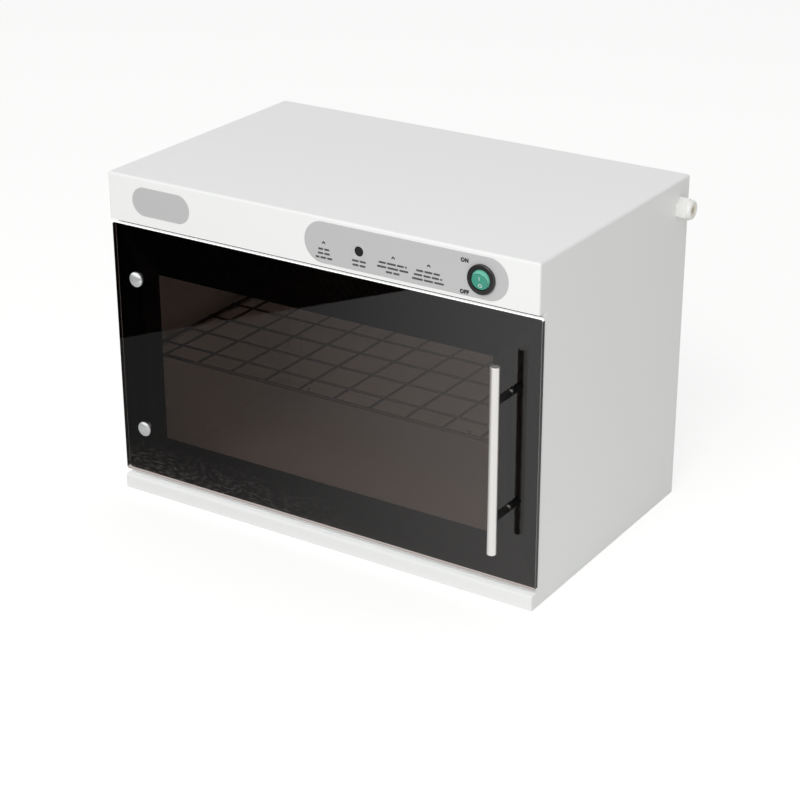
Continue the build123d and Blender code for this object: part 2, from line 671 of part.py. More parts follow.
def wire_shelf():
    """A welded grid: a frame of thicker wire, long cross wires, short ones on top."""
    half_width = INSIDE - SHELF_SIDE_MARGIN
    front = FRONT + SHELF_FRONT
    rear = FLANGE_INNER - SHELF_REAR_MARGIN
    corner = 4 * SHELF_FRAME_RADIUS
    middle = (0, (front + rear) / 2, SHELF_HEIGHT)
    path = (Plane(origin=middle) * RectangleRounded(2 * half_width, rear - front, corner)).wire()
    start = Plane(origin=path @ 0, z_dir=path % 0)
    shelf = sweep(start * Circle(SHELF_FRAME_RADIUS), path)
    row_height = SHELF_HEIGHT + SHELF_FRAME_RADIUS + SHELF_WIRE_RADIUS - WIRE_BITE * 2
    column_height = row_height - 2 * SHELF_WIRE_RADIUS + WIRE_BITE
    first_row = (front + rear) / 2 - (SHELF_ROWS - 1) / 2 * SHELF_ROW_PITCH
    for i in range(SHELF_ROWS):
        y = first_row + i * SHELF_ROW_PITCH
        shelf += rod_right(-half_width, y, row_height, SHELF_WIRE_RADIUS, 2 * half_width)
    first_column = -(SHELF_COLUMNS - 1) / 2 * SHELF_COLUMN_PITCH
    for i in range(SHELF_COLUMNS):
        x = first_column + i * SHELF_COLUMN_PITCH
        shelf += rod_back(x, front, column_height, SHELF_WIRE_RADIUS, rear - front)
    save("wire_shelf", shelf)


def shelf_rail(name, side):
    """An angle on the chamber's side wall that carries the shelf's frame wire."""
    ends = (FRAME_REAR + RAIL_END_GAP, FLANGE_INNER - RAIL_END_GAP)
    rail = block((side * (INSIDE - RAIL), side * INSIDE), ends, (SHELF_LOW - RAIL_LEG, SHELF_LOW))
    rail += block((side * (INSIDE - RAIL_LEG), side * INSIDE), ends, (SHELF_LOW - RAIL, SHELF_LOW))
    save(f"{name}_shelf_rail", rail)


def lamp():
    """The tube, its end caps and pins, two holders and the reflector."""
    half = LAMP_LENGTH / 2
    glass_half = half - LAMP_CAP_WALL
    tube = rod_right(-glass_half, LAMP_Y, LAMP_Z, LAMP_RADIUS - LAMP_CAP_WALL, 2 * glass_half)
    tube -= rod_right(
        -glass_half + LAMP_WALL,
        LAMP_Y,
        LAMP_Z,
        LAMP_RADIUS - LAMP_CAP_WALL - LAMP_WALL,
        2 * (glass_half - LAMP_WALL),
    )
    save("lamp_tube", tube)
    caps = []
    for side in (-1, 1):
        end = (side * half, LAMP_Y, LAMP_Z)
        cap = rod(end, (-side, 0, 0), LAMP_RADIUS, LAMP_CAP)
        cap -= rod((side * glass_half, LAMP_Y, LAMP_Z), (-side, 0, 0), LAMP_RADIUS - LAMP_CAP_WALL, LAMP_CAP)
        for pin in (-1, 1):
            place = (side * half, LAMP_Y + pin * LAMP_PIN_PITCH / 2, LAMP_Z)
            cap += rod(place, (side, 0, 0), LAMP_PIN_RADIUS, LAMP_PIN_LENGTH)
        caps.append(cap)
        lampholder("right" if side > 0 else "left", side)
    save("lamp_caps", *caps)
    crown = REFLECTOR_CROWN / 2
    skirt = REFLECTOR_WIDTH / 2
    top = CEILING_UNDERSIDE
    slope = REFLECTOR_SHEET / sin(pi / 4)
    profile = Polyline(
        (-crown, top),
        (crown, top),
        (skirt, top - REFLECTOR_DEPTH),
        (skirt - slope, top - REFLECTOR_DEPTH),
        (crown - REFLECTOR_SHEET / 2, top - REFLECTOR_SHEET),
        (-crown + REFLECTOR_SHEET / 2, top - REFLECTOR_SHEET),
        (-skirt + slope, top - REFLECTOR_DEPTH),
        (-skirt, top - REFLECTOR_DEPTH),
        close=True,
    )
    face = Plane(origin=(-half, LAMP_Y, 0), x_dir=(0, 1, 0), z_dir=(1, 0, 0)) * make_face(profile)
    save("lamp_reflector", extrude(face, LAMP_LENGTH))


def lampholder(name, side):
    """A moulded post under the ceiling with two holes for the lamp's pins."""
    near = LAMP_LENGTH / 2
    low = LAMP_Z - LAMP_RADIUS - HOLDER_BELOW_LAMP
    holder = block(
        (side * near, side * (near + HOLDER_THICKNESS)),
        (LAMP_Y - HOLDER_WIDTH / 2, LAMP_Y + HOLDER_WIDTH / 2),
        (low, CEILING_UNDERSIDE),
    )
    bottom = edges_at(holder, Axis.X, z=low)
    holder = fillet(bottom, HOLDER_ROUND)
    for pin in (-1, 1):
        place = (side * (near - 1), LAMP_Y + pin * LAMP_PIN_PITCH / 2, LAMP_Z)
        holder -= rod(place, (side, 0, 0), LAMP_PIN_RADIUS, LAMP_PIN_LENGTH + 1)
    save(f"{name}_lampholder", holder)


def electrical_gear():
    """Ballast, starter in its base and terminal block, all standing on the ceiling sheet."""
    floor = BAND_BOTTOM
    length, width, height = BALLAST_SIZE
    x, set_back = BALLAST_PLACE
    y = FRONT + set_back
    ballast = standing_block(x, y, floor, BALLAST_SIZE)
    ballast = fillet(ballast.edges().filter_by(Axis.X), BALLAST_ROUND)
    reach = length / 2 + BALLAST_FOOT_LENGTH
    ballast += block((x - reach, x + reach), (y - width / 3, y + width / 3), (floor, floor + BALLAST_FOOT))
    save("ballast", ballast)

    length, width, height = STARTER_BASE
    x, set_back = STARTER_PLACE
    y = FRONT + set_back
    save("starter_base", standing_block(x, y, floor, STARTER_BASE))
    can = rod_back(x, y + width / 2, floor + height / 2, STARTER_RADIUS, STARTER_LENGTH)
    save("starter", fillet(can.edges().sort_by(Axis.Y)[-1], STARTER_ROUND))

    length, width, height = TERMINAL_SIZE
    x, set_back = TERMINAL_PLACE
    y = FRONT + set_back
    terminals = standing_block(x, y, floor, TERMINAL_SIZE)
    pitch = width / TERMINAL_WAYS
    clamps = []
    for i in range(TERMINAL_WAYS):
        way = y - width / 2 + (i + 0.5) * pitch
        hole = (x - length / 2 - 1, way, floor + TERMINAL_HOLE_HEIGHT)
        terminals -= rod_right(*hole, TERMINAL_HOLE_RADIUS, length + 2)
        seat = floor + height - TERMINAL_SCREW_DEPTH
        head = rod_up(x, way, seat, TERMINAL_SCREW_RADIUS, TERMINAL_SCREW_DEPTH)
        terminals -= head
        clamps.append(head)
    save("terminal_block", terminals)
    save("terminal_screws", *clamps)


def control_board():
    """The board behind the band, with its parts, stand-offs, indicator lamps and start switch."""
    low, high = BOARD_SPAN
    bottom = BUTTON_Z - BOARD_HEIGHT / 2
    top = BUTTON_Z + BOARD_HEIGHT / 2
    rear = BOARD_FACE + BOARD
    save("control_board", block((low, high), (BOARD_FACE, rear), (bottom, top)))
    standoffs = []
    for x in (low + STANDOFF_IN, high - STANDOFF_IN):
        for z in (bottom + STANDOFF_IN, top - STANDOFF_IN):
            standoffs.append(rod_back(x, FRONT + SHEET, z, STANDOFF_RADIUS, BOARD_BEHIND_BAND))
    save("board_standoffs", *standoffs)
    for node, size, place in (
        ("board_relay", RELAY_SIZE, RELAY_PLACE),
        ("board_supply", SUPPLY_SIZE, SUPPLY_PLACE),
    ):
        wide, deep, tall = size
        x = low + place[0]
        z = bottom + place[1]
        save(node, block((x, x + wide), (rear, rear + deep), (z, z + tall)))
    x = low + CAPACITOR_PLACE[0]
    z = bottom + CAPACITOR_PLACE[1]
    save("board_capacitor", rod_back(x, rear, z, CAPACITOR_RADIUS, CAPACITOR_HEIGHT))
    lamps = []
    start = FRONT + SHEET / 4
    for x in LAMP_PLACES:
        body = rod_back(x, start, BUTTON_Z, LED_RADIUS, BOARD_FACE - start)
        body += rod_back(x, BOARD_FACE - LED_COLLAR, BUTTON_Z, LED_COLLAR_RADIUS, LED_COLLAR)
        lamps.append(body)
    save("indicator_lamps", *lamps)
    half = SWITCH_BLOCK / 2
    face = BOARD_FACE - SWITCH_BLOCK_DEPTH
    switch = block((BUTTON_X - half, BUTTON_X + half), (face, BOARD_FACE), (BUTTON_Z - half, BUTTON_Z + half))
    bore = BUTTON_STEM_RADIUS + STEM_RUNNING_GAP
    switch -= rod_back(BUTTON_X, face - 1, BUTTON_Z, bore, SWITCH_BLOCK_BORE + 1)
    save("start_switch", switch)


def start_button():
    """The button that slides in its sleeve, behind a hole in the film."""
    x, z = BUTTON_X, BUTTON_Z
    guide = BUTTON_RADIUS + BUTTON_GAP
    rear = FRONT + SHEET
    sleeve = rod_back(x, FRONT, z, guide + SLEEVE_WALL, SHEET)
    sleeve += rod_back(x, rear, z, SLEEVE_FLANGE_RADIUS, SLEEVE_FLANGE)
    sleeve -= rod_back(x, FRONT - 1, z, guide, SHEET + SLEEVE_FLANGE + 2)
    save("button_sleeve", sleeve)
    face = FILM_FACE + BUTTON_RECESS
    shoulder = rear + SLEEVE_FLANGE + BUTTON_GAP
    button = rod_back(x, face, z, BUTTON_RADIUS, shoulder - face)
    button = fillet(button.edges().sort_by(Axis.Y)[0], BUTTON_ROUND)
    button += rod_back(x, shoulder, z, BUTTON_SHOULDER_RADIUS, BUTTON_SHOULDER)
    stem_end = BOARD_FACE - SWITCH_BLOCK_DEPTH + SWITCH_BLOCK_BORE - BUTTON_TRAVEL - BUTTON_GAP
    button += rod_back(x, shoulder, z, BUTTON_STEM_RADIUS, stem_end - shoulder)
    save("start_button", button)


def front_labels():
    """The control film and the name plate, both bare."""
    film = pill(FILM_X, FILM_Z, FILM_LENGTH, FILM_HEIGHT)
    through = FILM_THICKNESS + 2
    film -= rod_back(ROCKER_X, FILM_FACE - 1, ROCKER_Z, SWITCH_BODY_RADIUS + PANEL_HOLE_GAP, through)
    film -= rod_back(BUTTON_X, FILM_FACE - 1, BUTTON_Z, BUTTON_RADIUS + BUTTON_GAP, through)
    save("control_film", film)
    save("name_plate", pill(PLATE_X, PLATE_Z, PLATE_LENGTH, PLATE_HEIGHT))


def rocker_switch():
    """The round switch: a body clamped in the panel, its pivot, terminals and the rocker."""
    x, z = ROCKER_X, ROCKER_Z
    body = rod_back(x, BEZEL_FACE, z, BEZEL_RADIUS, BEZEL)
    body = fillet(body.edges().sort_by(Axis.Y)[0], BEZEL_DOME)
    body += rod_back(x, FILM_FACE, z, SWITCH_BODY_RADIUS, SWITCH_BODY_DEPTH)
    body -= rod_back(x, BEZEL_FACE - 1, z, ROCKER_OPENING, BEZEL_LIP + 2)
    cavity = SWITCH_BODY_RADIUS - SWITCH_BODY_WALL
    cavity_front = BEZEL_FACE + BEZEL_LIP
    cavity_rear = FILM_FACE + SWITCH_BODY_DEPTH - SWITCH_FLOOR
    body -= rod_back(x, cavity_front, z, cavity, cavity_rear - cavity_front)
    pin_half = SWITCH_BODY_RADIUS - SWITCH_BODY_WALL / 2
    pin = rod_right(x - pin_half, ROCKER_PIVOT_Y, z, ROCKER_PIN_RADIUS, 2 * pin_half)
    body -= pin
    save("switch_body", body)
    save("rocker_pivot", pin)
    tabs = []
    wide, long, thick = TERMINAL_TAB
    rear = FILM_FACE + SWITCH_BODY_DEPTH
    for i in range(TERMINAL_TABS):
        height = z + (i - (TERMINAL_TABS - 1) / 2) * TERMINAL_TAB_PITCH
        heights = (height - thick / 2, height + thick / 2)
        tabs.append(block((x - wide / 2, x + wide / 2), (rear, rear + long), heights))
    save("switch_terminals", *tabs)

    ball = Sphere(ROCKER_RADIUS)
    reach = 2 * ROCKER_RADIUS
    rocker = ball & block((-reach, reach), (-ROCKER_FACE_OUT, ROCKER_BACK), (-reach, reach))
    rocker = fillet(rocker.faces().sort_by(Axis.Y)[0].edges(), ROCKER_EDGE)
    bore = ROCKER_PIN_RADIUS + ROCKER_RUNNING_GAP
    rocker -= rod_right(-reach, 0, 0, bore, 2 * reach)
    off = Rot(ROCKER_SWING / 2, 0, 0)
    save("rocker", Pos(x, ROCKER_PIVOT_Y, z) * off * rocker)


def cable_gland():
    """Gland body through the side wall, its domed nut, rubber seal and locknut."""
    flats = GLAND_FLATS
    place = (GLAND_Y, GLAND_Z)
    nut_start = RIGHT + GLAND_HEX
    nut_end = nut_start + GLAND_HEX
    tip = nut_end + GLAND_DOME
    inner_end = INSIDE - GLAND_INSIDE
    body = hexagon((RIGHT, *place), (1, 0, 0), flats, GLAND_HEX)
    body += rod_right(inner_end, *place, GLAND_THREAD_RADIUS, nut_end - inner_end)
    body -= rod_right(inner_end - 1, *place, GLAND_BORE_RADIUS, nut_end - inner_end + 2)
    save("gland_body", body)
    nut = hexagon((nut_start, *place), (1, 0, 0), flats, GLAND_HEX)
    dome = rod_right(nut_end, *place, flats / 2, GLAND_DOME)
    dome = fillet(dome.edges().sort_by(Axis.X)[-1], GLAND_DOME_ROUND)
    nut += dome
    nut -= rod_right(nut_start - 1, *place, GLAND_THREAD_RADIUS, GLAND_HEX + 1)
    seal_end = tip - GLAND_SEAL_SUNK
    nut -= rod_right(nut_end - 1, *place, GLAND_BORE_RADIUS, seal_end - nut_end + 1)
    nut -= rod_right(nut_end, *place, GLAND_MOUTH_RADIUS, tip + 1 - nut_end)
    save("gland_nut", nut)
    seal = rod_right(seal_end - GLAND_SEAL_LENGTH, *place, GLAND_BORE_RADIUS, GLAND_SEAL_LENGTH)
    seal -= rod_right(seal_end - GLAND_SEAL_LENGTH - 1, *place, CABLE_BORE_RADIUS, GLAND_SEAL_LENGTH + 2)
    save("gland_seal", seal)
    locknut = hexagon((INSIDE - LOCKNUT, *place), (1, 0, 0), flats, LOCKNUT)
    locknut -= rod_right(INSIDE - LOCKNUT - 1, *place, GLAND_THREAD_RADIUS, LOCKNUT + 2)
    save("gland_locknut", locknut)


def main():
    os.makedirs("parts", exist_ok=True)
    outer_casing()
    base_plate()
    back_panel()
    chamber_ceiling()
    door_glass()
    door_seal()
    for name, height in HINGE_HEIGHTS.items():
        hinge_bracket(name, height)
        hinge_leaf(name, height)
    hinge_hardware()
    handle()
    door_catch()
    wire_shelf()
    shelf_rail("left", -1)
    shelf_rail("right", 1)
    lamp()
    electrical_gear()
    control_board()
    start_button()
    front_labels()
    rocker_switch()
    cable_gland()


main()
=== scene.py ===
# %% [markdown]
# A germicidal storage chamber, dressed for its portrait.
# The cabinet is a box of folded steel sheet with a tinted glass door, a grey label with the controls on it,
# a green rocker switch and a white cable gland. Its solids come ready made and to size. This lesson gives
# them their finishes, replaces the pieces that need a finer shape, and lights and frames the whole.

import json
from math import cos, pi, radians, sin

import bpy
from mathutils import Matrix, Vector

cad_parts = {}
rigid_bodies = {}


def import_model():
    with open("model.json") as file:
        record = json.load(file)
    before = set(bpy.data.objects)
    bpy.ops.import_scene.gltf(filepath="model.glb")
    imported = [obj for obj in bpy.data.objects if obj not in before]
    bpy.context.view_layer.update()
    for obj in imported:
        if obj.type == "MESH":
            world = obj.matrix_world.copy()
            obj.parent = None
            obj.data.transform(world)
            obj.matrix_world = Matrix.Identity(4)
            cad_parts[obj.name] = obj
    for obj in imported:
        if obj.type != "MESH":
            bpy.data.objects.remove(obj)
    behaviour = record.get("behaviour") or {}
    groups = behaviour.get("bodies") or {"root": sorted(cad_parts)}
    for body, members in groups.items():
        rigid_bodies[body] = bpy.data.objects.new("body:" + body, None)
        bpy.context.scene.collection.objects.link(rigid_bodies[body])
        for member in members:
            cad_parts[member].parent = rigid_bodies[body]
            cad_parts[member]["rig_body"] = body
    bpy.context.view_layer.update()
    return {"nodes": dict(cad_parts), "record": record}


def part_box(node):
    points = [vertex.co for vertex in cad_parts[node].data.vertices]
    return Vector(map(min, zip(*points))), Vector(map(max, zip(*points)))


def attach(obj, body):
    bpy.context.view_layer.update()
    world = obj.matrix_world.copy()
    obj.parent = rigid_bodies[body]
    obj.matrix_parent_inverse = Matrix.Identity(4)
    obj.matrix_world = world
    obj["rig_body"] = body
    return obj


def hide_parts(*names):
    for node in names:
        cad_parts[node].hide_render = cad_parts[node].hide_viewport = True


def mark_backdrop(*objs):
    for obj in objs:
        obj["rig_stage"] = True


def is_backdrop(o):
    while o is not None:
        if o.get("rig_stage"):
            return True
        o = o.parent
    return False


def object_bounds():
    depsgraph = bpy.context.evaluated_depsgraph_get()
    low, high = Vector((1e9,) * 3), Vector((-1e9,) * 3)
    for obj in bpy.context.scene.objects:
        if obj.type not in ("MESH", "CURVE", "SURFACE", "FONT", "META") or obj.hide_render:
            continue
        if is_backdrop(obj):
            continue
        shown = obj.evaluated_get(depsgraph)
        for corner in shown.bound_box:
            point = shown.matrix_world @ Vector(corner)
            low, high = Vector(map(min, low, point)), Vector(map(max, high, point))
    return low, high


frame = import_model()
nodes = frame["nodes"]
scene = bpy.context.scene
MM = 0.001

# %% [markdown]
# The camera comes first, because every later choice is judged through it.
# It could be placed by eye. Here it is worked out from the corners of the cabinet in the photograph: how far
# round it stands, how high, how far off, and how much its picture is shifted and rolled.
# The lens keeps no shift of its own, so the camera itself is moved sideways and down.

# %% Camera
AROUND = 32.86
ABOVE = 24.11
ROLL = -0.12
LENS = 93.32
SENSOR = 36.0
DISTANCE = 1724.7
ASIDE = 1.65
DOWN = -53.1
AIM = Vector((0, 0, 142))

camera_data = bpy.data.cameras.new("camera")
camera_data.lens = LENS
camera_data.sensor_width = SENSOR
camera_data.clip_start = 0.01
camera_data.clip_end = 30
camera = bpy.data.objects.new("camera", camera_data)
scene.collection.objects.link(camera)
scene.camera = camera

around, above, roll = radians(AROUND), radians(ABOVE), radians(ROLL)
back = Vector((sin(around) * cos(above), -cos(around) * cos(above), sin(above)))
level = Vector((0, 0, 1)).cross(back).normalized()
upward = back.cross(level)
right = level * cos(roll) + upward * sin(roll)
up = upward * cos(roll) - level * sin(roll)
place = (AIM + back * DISTANCE + right * ASIDE + up * DOWN) * MM
turn = Matrix((right, up, back)).transposed().to_4x4()
camera.matrix_world = Matrix.Translation(place) @ turn
print("camera at", [round(c, 3) for c in place])

# %% [markdown]
# A colour picked from a screen is an sRGB code, while a shader wants linear light. One function turns the
# code into what the shader takes, and it is the only way in for every colour in this lesson.
# One more function adds a node with its settings, its values and its links, and one starts a material
# from the numbers that the real finish is known by: its colour, roughness, metal share and index.

# %% Colours, nodes and materials
WAVE_DETAIL = 2.0


def linear(code):
    """The linear red, green, blue and alpha of an sRGB hex code."""
    shares = [int(code[i:i + 2], 16) / 255 for i in (1, 3, 5)]
    return [c / 12.92 if c <= 0.04045 else ((c + 0.055) / 1.055) ** 2.4 for c in shares] + [1.0]


def add_node(material, kind, values=None, links=None, **settings):
    """A node of a material, with its settings, its socket values and what is linked into it."""
    node = material.node_tree.nodes.new(kind)
    for name, value in settings.items():
        setattr(node, name, value)
    for name, value in (values or {}).items():
        node.inputs[name].default_value = value
    for name, socket in (links or {}).items():
        material.node_tree.links.new(socket, node.inputs[name])
    return node


def finish(name, colour, roughness, metallic=0.0, ior=1.5, **more):
    """A material of one colour, with the shader's other sockets by their names."""
    material = bpy.data.materials.new(name)
    material.use_nodes = True
    shader = material.node_tree.nodes["Principled BSDF"]
    shader.inputs["Base Color"].default_value = linear(colour)
    shader.inputs["Roughness"].default_value = roughness
    shader.inputs["Metallic"].default_value = metallic
    shader.inputs["IOR"].default_value = ior
    for socket, value in more.items():
        shader.inputs[socket.replace("_", " ")].default_value = value
    return material


def link_in(material, socket, source):
    """Link a node's output into the material's own shader."""
    shader = material.node_tree.nodes["Principled BSDF"]
    material.node_tree.links.new(source, shader.inputs[socket])


def object_place(material, stretch=(1, 1, 1)):
    """Object coordinates in metres, stretched along its axes."""
    where = add_node(material, "ShaderNodeTexCoord")
    return add_node(
        material, "ShaderNodeMapping", {"Scale": stretch}, {"Vector": where.outputs["Object"]}
    ).outputs["Vector"]


def bumps(material, size, height, stretch=(1, 1, 1)):
    """Fine relief: waves of a real size and height in millimetres."""
    waves = add_node(
        material,
        "ShaderNodeTexNoise",
        {"Scale": 1 / (size * MM), "Detail": WAVE_DETAIL},
        {"Vector": object_place(material, stretch)},
    )
    relief = add_node(
        material,
        "ShaderNodeBump",
        {"Strength": 1.0, "Distance": height * MM},
        {"Height": waves.outputs["Fac"]},
    )
    link_in(material, "Normal", relief.outputs["Normal"])


# %% [markdown]
# Each solid gets the finish of the real piece, and the sheet metal ones come first.
# Powder coat is sprayed as dust and baked, so it flows into soft waves about two millimetres long, and it
# keeps an even half gloss. Zinc plate is a thin bright blue-white coat on pressed steel.

# %% Sheet metal finishes
powder_coat = finish("powder_coated_steel", "#ECEDEC", 0.42)
bumps(powder_coat, 2.0, 0.006)
zinc_plate = finish("zinc_plated_steel", "#B4B8BC", 0.34, metallic=1.0)
bumps(zinc_plate, 0.8, 0.004)
rolled_aluminium = finish("rolled_aluminium", "#D2D5D8", 0.22, metallic=1.0)
bumps(rolled_aluminium, 0.6, 0.003, stretch=(0.05, 1, 1))
lacquered_steel = finish("lacquered_steel", "#D8D8D3", 0.4)
nickel_plate = finish("nickel_plated_magnet", "#BDBBB4", 0.18, metallic=1.0)
satin_chrome = finish("satin_chrome", "#F4F5F6", 0.18, metallic=0.6)
stamped_brass = finish("stamped_brass", "#C8A860", 0.3, metallic=1.0)
shelf_steel = finish("drawn_steel_wire", "#706A66", 0.38, metallic=1.0)

# %% [markdown]
# The handle is steel with a pale satin plating. A belt brushed it lengthwise first, and the fine grooves
# spread each reflection sideways, so the bar shows one soft bright band and no mirror image.
# Real grooves are about 0.05 mm apart. Here they are 0.4 mm apart, to show at this distance. The bar's rear
# has only the dark door to mirror, so it is dark, and so is its image in the door.
# The posts that hold the bar are blackened steel.

# %% Brushed steel
GROOVE = 0.4
GROOVE_RUN = 0.02
brushed_steel = finish("satin_plated_steel", "#E4E2DF", 0.3, metallic=0.8)
bumps(brushed_steel, GROOVE, 0.004, stretch=(1, 1, GROOVE_RUN))
blackened_steel = finish("blackened_steel", "#060606", 0.5)

# %% [markdown]
# The moulded pieces are plain plastics. Nylon is milky and soft in its gloss, gloss black nylon takes the
# polish of its mould, and the rubbers are dull. The switch is a see-through green. It has three shades of
# that green: an even one for its face, a painted shade that is nearly black for its edge and a painted
# highlight that is pale for its wall.

# %% Plastics, rubber, glass of the lamp and the circuit board
black_rubber = finish("nitrile_rubber", "#161616", 0.7)
cream_rubber = finish("cream_rubber_seal", "#EDE8DA", 0.55)
natural_nylon = finish("natural_nylon", "#E4E2DA", 0.45, ior=1.53)
white_nylon = finish("white_nylon", "#ECECE9", 0.36, ior=1.53)
white_moulding = finish("white_polycarbonate", "#E6E6E3", 0.4, ior=1.58)
black_moulding = finish("black_abs", "#161617", 0.42)
gloss_black = finish("gloss_black_nylon", "#151211", 0.22, ior=1.62)
green_plastic = finish("green_polycarbonate", "#2C937C", 0.2, ior=1.58)
# The edge's near black is painted shade, and the wall's pale green is a painted highlight.
green_painted_shade = finish("green_polycarbonate_painted_shade", "#07352B", 0.3, ior=1.58)
green_painted_highlight = finish("green_polycarbonate_painted_highlight", "#63BBA4", 0.16, ior=1.58)
blue_moulding = finish("blue_polyester", "#1F4E9E", 0.35)
led_resin = finish("red_led_resin", "#B43B34", 0.15)
solder_mask = finish("green_solder_mask", "#14593A", 0.35)
starter_can = finish("white_starter_can", "#E4E6E8", 0.3)
quartz_glass = finish("quartz_glass", "#EAF2F6", 0.04, ior=1.46, Alpha=0.35)
grey_label = finish("domed_grey_label", "#BEBDBE", 0.26)

# %% [markdown]
# The door is 4 mm float glass, tinted grey-brown in the melt. About a quarter of the light comes through, so
# the chamber behind it reads as a warm dusk, and the pane mirrors the table in front of it.
# It could be a refracting shader, but light would then hardly find its way in and out of the chamber.
# Each face instead blends a black glossy body with a clear, faintly warm view of what is behind it. The
# index stands above that of real glass, because the clear share of the blend has no gloss of its own.

# %% Tinted glass
GLASS_BODY = 0.40
GLASS_INDEX = 2.1
GLASS_TINT = "#F7EDE8"
GLASS_BLACK = "#050404"
GLASS_ROUGHNESS = 0.015
tinted_glass = finish("tinted_float_glass", GLASS_BLACK, GLASS_ROUGHNESS, ior=GLASS_INDEX)
body = tinted_glass.node_tree.nodes["Principled BSDF"]
view = add_node(tinted_glass, "ShaderNodeBsdfTransparent", {"Color": linear(GLASS_TINT)})
blend = add_node(tinted_glass, "ShaderNodeMixShader", {"Fac": GLASS_BODY})
tinted_glass.node_tree.links.new(view.outputs["BSDF"], blend.inputs[1])
tinted_glass.node_tree.links.new(body.outputs["BSDF"], blend.inputs[2])
surface = tinted_glass.node_tree.nodes["Material Output"].inputs["Surface"]
tinted_glass.node_tree.links.new(blend.outputs["Shader"], surface)

# %% [markdown]
# A pane that is opened every day carries a little dust and a few wipe marks, most of them low down on the
# left. They are a paler body colour: streaks about 6 mm long and 1.5 mm high, let through only where the
# noise is strong, and only in that corner.

# %% Wipe marks
DUST_GREY = "#6A6765"
STREAK = 1.5
STREAK_RUN = 0.25
STREAK_DETAIL = 4.0
MARK_LOW = 0.50
MARK_HIGH = 0.66
CORNER_X = (0.06, -0.10)
CORNER_Z = (0.050, 0.024)
streaks = add_node(
    tinted_glass,
    "ShaderNodeTexNoise",
    {"Scale": 1 / (STREAK * MM), "Detail": STREAK_DETAIL},
    {"Vector": object_place(tinted_glass, (STREAK_RUN, 1, 1))},
)
strong = add_node(
    tinted_glass,
    "ShaderNodeMapRange",
    {"From Min": MARK_LOW, "From Max": MARK_HIGH},
    {"Value": streaks.outputs["Fac"]},
)
where = add_node(tinted_glass, "ShaderNodeTexCoord")
axes = add_node(tinted_glass, "ShaderNodeSeparateXYZ", links={"Vector": where.outputs["Object"]})
mask = strong.outputs["Result"]
for axis, (outer, inner) in {"X": CORNER_X, "Z": CORNER_Z}.items():
    inside = add_node(
        tinted_glass,
        "ShaderNodeMapRange",
        {"From Min": outer, "From Max": inner},
        {"Value": axes.outputs[axis]},
    )
    product = add_node(
        tinted_glass, "ShaderNodeMath", operation="MULTIPLY", links={0: mask, 1: inside.outputs["Result"]}
    )
    mask = product.outputs["Value"]
# Sockets 6 and 7 of this node are its two colours, and socket 2 is the colour that it gives out.
dusty = add_node(tinted_glass, "ShaderNodeMix", data_type="RGBA", links={0: mask})
dusty.inputs[6].default_value = linear(GLASS_BLACK)
dusty.inputs[7].default_value = linear(DUST_GREY)
link_in(tinted_glass, "Base Color", dusty.outputs[2])

# %% [markdown]
# The rims differ. The top and bottom ones are ground to a matt white, and a painted glow on them stands in
# for the light that comes in through the pane and leaves there. The upright ones are polished clear, so one
# looks through them into the black print behind the pane. On the handle's side the sharp corner beside it is
# pale.
# The print is a ceramic ink, fired on. It is black and a little dull.

# %% Rims and ink
# The ground rims' emission is a painted glow. The rims are no lamp.
RIM_PAINTED_GLOW = 0.42
ground_rim_painted_glow = finish("ground_glass_rim_painted_glow", "#F2F3F2", 0.55, ior=1.52, Emission_Strength=RIM_PAINTED_GLOW)
ground_rim_painted_glow.node_tree.nodes["Principled BSDF"].inputs["Emission Color"].default_value = linear("#F6F6F8")
polished_edge = finish("polished_glass_rim", "#0E0E0E", 0.35, ior=1.35)
# A pale grey for the upright arris on the handle's side.
pale_arris = finish("pale_glass_corner", "#6E6E6C", 0.4, ior=1.4)
black_ink = finish("fired_black_ink", "#040404", 0.3)

# %% [markdown]
# With every finish at hand, the list below goes from the name of a finish in the part's record to its
# material, and each solid is dressed by it.

# %% Dressing the solids
wears = {
    "casing_paint": powder_coat,
    "zinc_steel": zinc_plate,
    "tinted_glass": tinted_glass,
    "black_border": black_ink,
    "black_rubber": black_rubber,
    "nylon": natural_nylon,
    "aluminium": rolled_aluminium,
    "bright_chrome": satin_chrome,
    "satin_steel": brushed_steel,
    "blackened_steel": blackened_steel,
    "magnet_nickel": nickel_plate,
    "shelf_wire": shelf_steel,
    "lamp_glass": quartz_glass,
    "white_moulding": white_moulding,
    "ballast_steel": lacquered_steel,
    "starter_can": starter_can,
    "circuit_board": solder_mask,
    "brass": stamped_brass,
    "relay_blue": blue_moulding,
    "black_moulding": black_moulding,
    "lamp_resin": led_resin,
    "grey_film": grey_label,
    "switch_black": gloss_black,
    "green_rocker": green_plastic,
    "gland_white": white_nylon,
    "pale_seal": cream_rubber,
}
slots = {row["node"]: row["material_slot"] for row in frame["record"]["subparts"]}


def dress(piece, material):
    """Give a piece one material all over."""
    piece.data.materials.clear()
    piece.data.materials.append(material)


for name, node in nodes.items():
    dress(node, wears[slots[name]])
print("finishes:", len(wears), "on", len(slots), "solids")

# %% [markdown]
# An edit acts on everything that is selected, and the solids come in selected, so each step starts by
# letting go of all of them. These helpers pick up one piece, open it for editing and pick its faces by
# where they look, as a modeller would with a click.
# A solid comes as loose triangles, so one helper copies a solid and joins the triangles of the copy. Its
# faces can then be told apart, and another helper puts further finishes on those that a test picks.

# %% Hands
JOIN = 0.01
SMOOTH_BELOW = 30


def let_go():
    """Leave edit mode and select nothing."""
    if bpy.context.object and bpy.context.object.mode != "OBJECT":
        bpy.ops.object.mode_set(mode="OBJECT")
    bpy.ops.object.select_all(action="DESELECT")


def pick_up(piece):
    """Select one piece and make it the active one."""
    let_go()
    piece.select_set(True)
    bpy.context.view_layer.objects.active = piece


